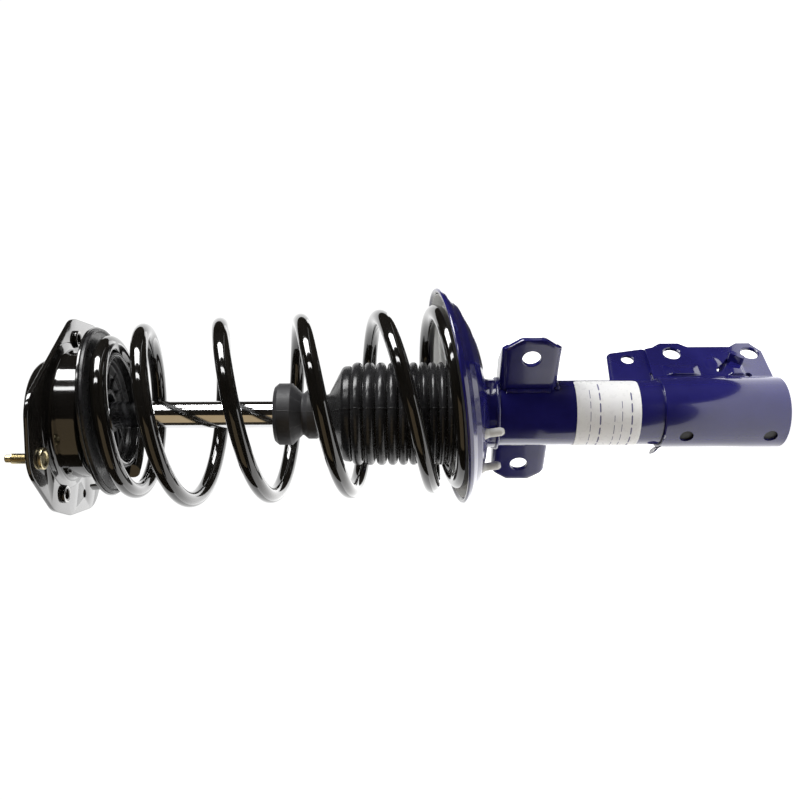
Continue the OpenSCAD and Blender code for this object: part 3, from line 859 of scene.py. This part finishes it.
def roundTube(turn, along, height, lift):
    r = tubeSizes["radius"] + lift
    a = math.radians(turn) + along / tubeSizes["radius"]
    return Vector((r * math.cos(a), r * math.sin(a), height))


def wrapped(shape, turn, lift):
    # a flat sheet bent round the tube: its x runs round, its y along
    return [roundTube(turn, p.x, p.y, lift + p.z) for p in shape[0]], shape[1]


def patch(left, right, foot, top, corner, thickness, steps=56):
    # a thin rectangle with round corners, as rows of points that can be bent
    rows = []
    half = (top - foot) / 2
    for i in range(steps + 1):
        x = left + (right - left) * i / steps
        near = min(x - left, right - x)
        cut = corner - math.sqrt(max(0, corner ** 2 - (corner - near) ** 2)) if near < corner else 0
        rows.append([(x, foot + cut + (2 * half - 2 * cut) * k / 6, z) for z in (0, thickness) for k in
                     (range(7) if z == 0 else range(6, -1, -1))])
    return skin([[rows[0][0]] * 14] + rows + [[rows[-1][0]] * 14])


def buildLabel():
    size = tubeSizes
    reach = math.radians(size["labelWrap"] / 2) * size["radius"]
    film = patch(-reach, reach, size["labelFoot"], size["labelTop"], size["labelCorner"],
                 size["labelThickness"], 120)
    shapes = [wrapped(film, size["labelTurn"], 0.02)]
    height = size["labelFoot"] + 7
    for line, (gap, weight, fill) in enumerate([(8, 1.1, 0.9), (6, 0.5, 0.8), (11, 0.5, 0.6), (8, 1.1, 0.95),
                                                (6, 0.5, 0.85)]):
        x = -reach + 8
        block = 0
        while x < -reach + 8 + (2 * reach - 16) * fill:
            length = 5 + 3.5 * abs(math.sin(line * 2.1 + block * 1.7))
            bar = patch(x, min(x + length, reach - 6), height, height + weight, weight * 0.3, 0.06, 8)
            shapes.append(wrapped(bar, size["labelTurn"], size["labelThickness"] + 0.01) + (1,))
            x += length + 2.2
            block += 1
        height += gap
    makePiece("tubeLabel", shapes, "strut_tube", "label_film", ["tube_label"],
              looks=[finishes["label_film"], labelInk])


# Stabiliser link brackets: a web across the tube with both long edges folded back.
linkSizes = {
    "height": -376,
    "half": 23,
    "holeOut": 58.5,
    "holeRadius": 7.3,
    "thickness": 4,
    "bend": 5,
    "tip": 77,
}


def buildLinkBracket(name, node, place):
    size = linkSizes
    half, t = size["half"], size["thickness"]
    section = filletPath([(-21, -half), (2, -half, size["bend"]), (2, half, size["bend"]), (-21, half)],
                         False, 6)
    section = densify(section, 2.0)
    rows = []
    for i, spot in enumerate(section):
        ahead = section[min(i + 1, len(section) - 1)] - section[max(i - 1, 0)]
        inward = Vector((-ahead.y, ahead.x)).normalized() * t
        row = []
        for shift in (0, 1):
            x, z = spot + inward * shift
            tip = size["tip"] - max(0, abs(z) - 9) * 0.72 if x > -4 else 66 - max(0, -4 - x) * 1.45
            reach = [17 + (tip - 17) * k / 14 for k in range(15)]
            row += [(x, y, size["height"] + z) for y in (reach if shift == 0 else reach[::-1])]
        rows.append(row)
    channel = closedStrip(rows)
    tubeCut = lathe([(0, -460), (26.4, -460), (26.4, -300), (0, -300)], 96, False)
    bolt = placed(holeCutter(size["holeRadius"], -2, 2, 0.5),
                  shifted(0, size["holeOut"], size["height"]) @ turned(90, "Y"))
    r = 27.2
    runs = []
    for edge in (-1, 1):
        runs.append(weld([(2 - k * 2.6, math.sqrt(r * r - (2 - k * 2.6) ** 2),
                           size["height"] + edge * (half + 0.6))
                          for k in range(9)], 1.7))
    runs.append(weld([(3.2, math.sqrt(r * r - 10.2), size["height"] + z) for z in range(-18, 19, 4)], 1.9))
    makePiece(name, [channel], "strut_tube", "strut_paint", [node], place, 0.6,
              [placed(tubeCut, place), placed(bolt, place)])
    makePiece(name + "Welds", runs, "strut_tube", "strut_paint", (), place)


def densify(path, step):
    dense = []
    for a, b in zip(path, path[1:]):
        pieces = max(1, math.ceil((b - a).length / step))
        dense += [a.lerp(b, i / pieces) for i in range(pieces)]
    return dense + [path[-1]]


def closedStrip(rows):
    # rows of closed loops, with both end loops filled by a strip between their two halves
    points, faces = skin(rows)
    width = len(rows[0])
    for start in (0, (len(rows) - 1) * width):
        for k in range(width // 2 - 1):
            faces.append((start + k, start + k + 1, start + width - 2 - k, start + width - 1 - k))
    return points, faces


# Knuckle bracket: one sheet wrapped round the tube, with both ends run out into flanges.
knuckleSizes = {
    "sleeve": 28.7,
    "sleeveWall": 2.1,
    "flangeOut": 16.75,
    "flangeWall": 3.5,
    "neck": 7,
    "top": -484,
    "foot": -582.8,
    "holes": ((56, -506), (56, -572)),
    "holeRadius": 7.25,
    "drains": (-502, -569),
    "drainRadius": 5.5,
    "pinHole": (27, -563, 2.8),
    "slots": (((33, -540), (48, -553)), ((48, -553), (42, -560))),
    "slotWidth": 4.2,
}


def flangeReach(z):
    # how far the flange runs out at a height, with its two lobes and the cut corner at its foot
    up = z + 506
    down = z + 572
    reach = 64.5
    for lobe in (up, down if down > 0 else 0):
        reach = max(reach, 69.5 - max(0, abs(lobe) - 8) * 0.72)
    if down < -4:
        reach = min(reach, 68 + (down + 4) * 1.42)
    if up > 14:
        reach = min(reach, 64.5 - (up - 14) * 0.3)
    return reach


def ridge(x, z, low, high, peak, foot):
    # a pressed triangle on the flange: its height falls to nothing at its sides and at its outer point
    along = 1 - abs(z - (low + high) / 2) / ((high - low) / 2)
    out = 1 - max(0, x - foot) / (peak - foot)
    return max(0, min(along * 2.2, out * 1.6, 1))


def stamping(x, z):
    # how far the flange's face is pushed outwards
    pad = math.exp(-(((x - 41) / 9) ** 2 + ((z + 537) / 6) ** 2) ** 2) * 1.2
    dart = ridge(x, z, -524, -494, 41, 30) * 2.4
    spur = ridge(x, z, -561, -546, 41, 28) * 2.6
    return pad + dart + spur


def slot(foot, head, width, low, high):
    # a round-ended bar that cuts a slot between two points of the flange
    foot, head = Vector(foot), Vector(head)
    lean = math.atan2(head.y - foot.y, head.x - foot.x)
    outline = []
    for centre, start in ((head, lean - math.pi / 2), (foot, lean + math.pi / 2)):
        outline += [centre + Vector((math.cos(start + math.pi * k / 12),
                                     math.sin(start + math.pi * k / 12))) * width / 2
                    for k in range(13)]
    ends = [sum(outline, Vector((0, 0))) / len(outline)] * len(outline)
    rows = [(ends, low), (outline, low), (outline, high), (ends, high)]
    return skin([[(p.x, p.y, z) for p in row] for row, z in rows])


def buildKnuckleBracket():
    size = knuckleSizes
    r, out, neck = size["sleeve"], size["flangeOut"], size["neck"]
    # the neck's arc touches the sleeve and the flange's outer face
    lift = out + neck
    neckX = math.sqrt((r + neck) ** 2 - lift ** 2)
    meet = math.atan2(lift, neckX)
    halves = []
    for side in (-1, 1):
        rows = []
        for level in (i / 96 for i in range(97)):
            z = size["foot"] + (size["top"] - size["foot"]) * level
            wrap = [math.pi - (math.pi - meet) * k / 30 for k in range(31)]
            spots = [((r * math.cos(a), r * math.sin(a)), (math.cos(a), math.sin(a)), size["sleeveWall"])
                     for a in wrap]
            for k in range(1, 8):
                a = meet + math.pi + (1.5 * math.pi - meet - math.pi) * k / 8
                spots.append(((neckX + neck * math.cos(a), lift + neck * math.sin(a)),
                              (-math.cos(a), -math.sin(a)),
                              size["sleeveWall"] + (size["flangeWall"] - size["sleeveWall"]) * k / 8))
            reach = flangeReach(z)
            for k in range(31):
                x = neckX + (reach - neckX) * k / 30
                spots.append(((x, out + (stamping(x, z) if side < 0 else 0.6 * stamping(x, z))), (0, 1),
                              size["flangeWall"]))
            outer = [(x, y) for (x, y), n, t in spots]
            inner = [(x - n[0] * t, y - n[1] * t) for (x, y), n, t in spots]
            loop = [(x, side * y, z) for x, y in outer + inner[::-1]]
            rows.append(loop)
        halves.append(closedStrip(rows))
    cuts = [placed(holeCutter(size["holeRadius"], out - size["flangeWall"], out, 0.7),
                   shifted(x, 0, z) @ turned(-90 * side, "X"))
            for x, z in size["holes"] for side in (-1, 1)]
    cuts += [placed(holeCutter(size["drainRadius"], 20, 40, 0),
                    shifted(0, 0, z) @ turned(180, "Z") @ turned(90, "Y")) for z in size["drains"]]
    upright = turned(90, "X")
    x, z, radius = size["pinHole"]
    cuts.append(placed(holeCutter(radius, 8, 24, 0, 32), shifted(x, 0, z) @ upright))
    for foot, head in size["slots"]:
        cuts.append(placed(slot(foot, head, size["slotWidth"], 13.9, 24), upright))
    # a small lug bent outwards at the sleeve's upper edge
    rows = []
    for k in range(9):
        a = math.radians(121 + 26 * k / 8)
        fall = 2.2 * abs(k / 4 - 1) ** 2
        loop = []
        for lift, z in ((0, -489), (0.3, -484), (2.2, -481), (5.6 - fall, -478 - fall)):
            loop.append((28.6 + lift, z))
        loop += [(lift - 0.4, z - 2.0) for lift, z in loop[:0:-1]] + [(26.9, -489)]
        rows.append([(q * math.cos(a), q * math.sin(a), z) for q, z in loop])
    lug = closedStrip(rows)
    makePiece("sleeveLug", [lug], "strut_tube", "strut_paint", (), None, 0.4)
    # dark discs laid on the tube inside the sleeve's two drain holes are painted shade: they make the shallow
    # holes look deep and dark
    half = size["drainRadius"] - 0.1
    holeShadeDiscs = [wrapped(patch(-half, half, z - half, z + half, half, 0.12, 24), 180, 0.03)
              for z in size["drains"]]
    makePiece("sleeveHoleFloors", holeShadeDiscs, "strut_tube", "mount_rubber")
    makePiece("knuckleBracket", halves, "strut_tube", "strut_paint", ["knuckle_bracket"], None, 0.7, cuts)


def buildHoseBracket():
    tab = sheet(filletPath([(22.5, -483.4), (34, -483.4), (34, -493), (64, -493, 2), (66, -482, 3),
                            (60.5, -454, 3), (57, -451, 3),
                            (21.5, -448, 1.5)]), [(circlePath(52, -468, 5.25), 0.5)], 2.5, 0.6)
    upright = shifted(0, -10.75, 0) @ turned(90, "X")
    makePiece("hoseBracket", [placed(tab, upright)], "strut_tube", "strut_paint", ["hose_bracket"])


buildMountPlate()
buildMountHousing()
buildPierceNuts()
buildStud()
buildRodAndNut()
print("top mount built")
buildUpperSeat()
buildSpring()
buildBoot()
buildBumper()
for soft in ("dustBoot", "jounceBumper"):
    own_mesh(bpy.data.objects[soft])
print("spring, boot and bumper built")
buildLowerSeat()
buildTube()
buildLabel()
buildLinkBracket("linkBracketFront", "link_bracket_front", Matrix.Scale(-1, 4, (1, 0, 0)))
buildLinkBracket("linkBracketRear", "link_bracket_rear", turned(180, "Z"))
buildKnuckleBracket()
buildHoseBracket()
print("strut tube and brackets built")

# Studio: a pale floor under the foot, softboxes, and a dark bowl and cards that only reflections show.
studio = {
    "middle": Vector((0, 0, (cadBounds[0][2] + cadBounds[1][2]) / 2)),
    "floorRadius": 2.5,
    "azimuth": -47,
    "distance": 0.74,
    "height": -0.2707,
    "lens": 40.64,
    "roll": -0.275,
    "shift": (0.005, 0.017),
    # right, up and toward the camera, then width, length, power and colour
    "softboxes": {
        "keyAbove": (-0.4, 0.95, 0.25, 0.4, 0.8, 15, (1, 1, 1)),
        "frontFill": (-0.5, 0.75, 0.7, 0.12, 0.7, 3, (1, 1, 1)),
        "tubeSide": (0.95, 0.0, 1.0, 0.45, 1.2, 3, (0.96, 0.97, 1)),
        "warmBelow": (-0.35, -0.62, 0.75, 1.2, 0.8, 1.3, (1, 0.76, 0.45)),
    },
    "bowlRadius": 1.5,
    "bowlReach": (120, 18),
    "floorCards": ((0.24, 1.5, -1.2, 1.2), (-1.2, 0.24, 0.11, 1.2)),
}
heading = math.radians(studio["azimuth"])
toCamera = Vector((math.sin(heading), -math.cos(heading), 0))
pictureRight = Vector((0, 0, -1))
pictureUp = toCamera.cross(pictureRight)
pictureAxes = Matrix((pictureRight, pictureUp, toCamera)).transposed().to_4x4()


def buildCamera():
    camera = addObject("camera", bpy.data.cameras.new("camera"))
    spot = toCamera * studio["distance"] + Vector((0, 0, studio["height"]))
    camera.matrix_world = shifted(*spot) @ pictureAxes @ turned(studio["roll"], "Z")
    camera.data.lens = studio["lens"]
    camera.data.sensor_width = 36
    camera.data.shift_x, camera.data.shift_y = studio["shift"]
    camera.data.clip_start = 0.01
    bpy.context.scene.camera = camera


def softbox(name, right, up, toward, width, length, power, colour):
    # placed by the picture's own directions, in metres from the strut's middle
    light = bpy.data.lights.new(name, "AREA")
    light.shape = "RECTANGLE"
    light.size = width
    light.size_y = length
    light.energy = power
    light.color = colour
    holder = addObject(name, light)
    spot = studio["middle"] + pictureRight * right + pictureUp * up + toCamera * toward
    holder.location = spot
    holder.rotation_euler = (spot - studio["middle"]).to_track_quat("Z", "Y").to_euler()


def plainMaterial(name, colour, roughness, glow=0.0):
    surface = Finish(name, Specular_IOR_Level=0.2)
    shade = surface.mix(surface.noise(3, 3), colour, tuple(c * 0.97 for c in colour))
    marks = surface.remap(surface.noise(40, 3), 0.3, 0.7, roughness - 0.05, roughness + 0.05)
    surface.shader.inputs["Emission Color"].default_value = (*colour, 1)
    surface.shader.inputs["Emission Strength"].default_value = glow
    return surface.done(shade, marks)


def buildStudio():
    world = bpy.data.worlds.new("whiteStudio")
    bpy.context.scene.world = world
    world.use_nodes = True
    world.node_tree.nodes["Background"].inputs["Color"].default_value = (1, 1, 1, 1)
    world.node_tree.nodes["Background"].inputs["Strength"].default_value = 1.05
    reach = studio["floorRadius"] / mm
    floor = lathe([(0, 0), (reach, 0), (reach, -5), (0, -5)], 96, False)
    ground = addObject("studioFloor", meshOf("studioFloor", [floor]))
    ground.location.z = cadBounds[0][2] - 0.0005
    ground.data.materials.append(plainMaterial("paleFloor", (0.9, 0.9, 0.9), 0.6, 1.1))
    # a bowl open to the back; it darkens what the front of the object reflects
    rows = []
    radius = studio["bowlRadius"] / mm
    reach, lift = studio["bowlReach"]
    for share in (i / 16 for i in range(17)):
        row = []
        for around in (fullTurn * k / 64 for k in range(64)):
            a = math.radians(reach + lift * math.sin(around)) * share
            x, y = math.cos(around), math.sin(around)
            row.append((radius * math.sin(a) * x, radius * math.sin(a) * y, radius * math.cos(a)))
        rows.append(row)
    bowl = addObject("studioCard", meshOf("studioCard", [skin(rows)]))
    bowl.matrix_world = Matrix.Translation(studio["middle"]) @ pictureAxes
    bowl.data.materials.append(plainMaterial("warmCard", (0.02, 0.015, 0.009), 0.8))
    bowl.visible_camera = False
    # dark cards just over the floor keep it out of the tube's and the dish's reflections
    height = cadBounds[0][2] + 0.004
    for near, far, low, high in studio["floorCards"]:
        corners = [toCamera * t + pictureUp * u
                   for t, u in ((near, low), (far, low), (far, high), (near, high))]
        rows = [[Vector((c.x, c.y, height + up)) / mm for c in corners] for up in (0, 0.002)]
        card = addObject("floorCard", meshOf("floorCard", [closedStrip(rows)]))
        card.data.materials.append(bowl.data.materials[0])
        card.visible_camera = False
        card.visible_shadow = False
    for name, values in studio["softboxes"].items():
        softbox(name, *values)


buildCamera()
buildStudio()
bpy.context.scene.view_settings.view_transform = "Standard"
print("studio ready")
